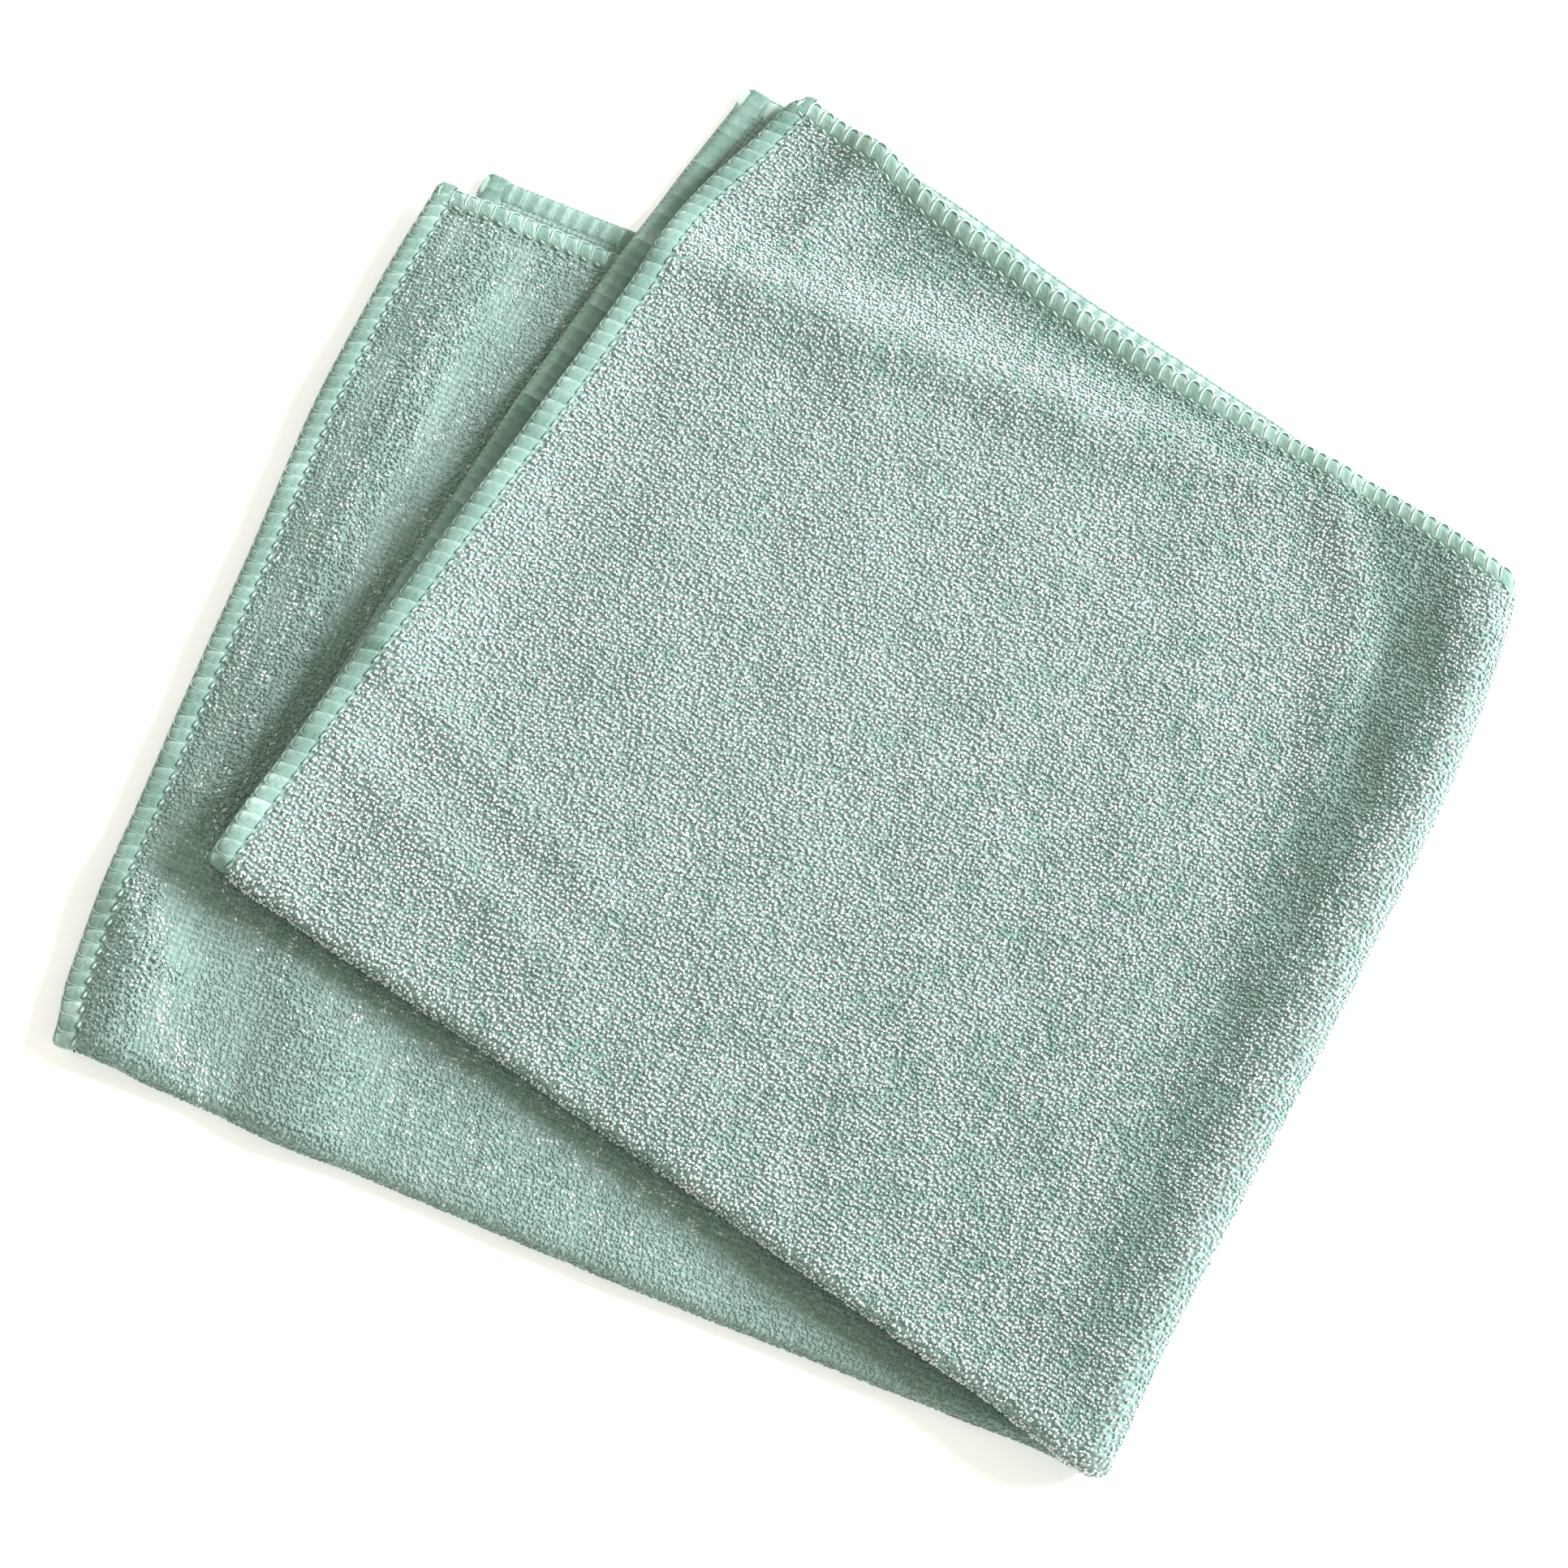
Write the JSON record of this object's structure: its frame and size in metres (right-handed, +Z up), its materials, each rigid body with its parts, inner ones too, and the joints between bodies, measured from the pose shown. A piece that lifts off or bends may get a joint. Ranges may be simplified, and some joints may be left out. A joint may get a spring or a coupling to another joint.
{
  "type": "microfibre cloth",
  "caption": "Square mint green microfibre cleaning cloth with overlocked edges, folded in quarters and lying flat.",
  "frame": {"origin": "centre of the bounding box on the underside, where the folded cloth lies on a surface", "axes": "+Z up through the four layers, +Y from the bottom fold to the open head edges, +X from the open left edges to the right hand crease"},
  "size_m": [0.2334, 0.2464, 0.014],
  "materials": {
    "microfibre": "matte"
  },
  "bodies": {
    "root": {"cloth": "microfibre"}
  },
  "joints": []
}
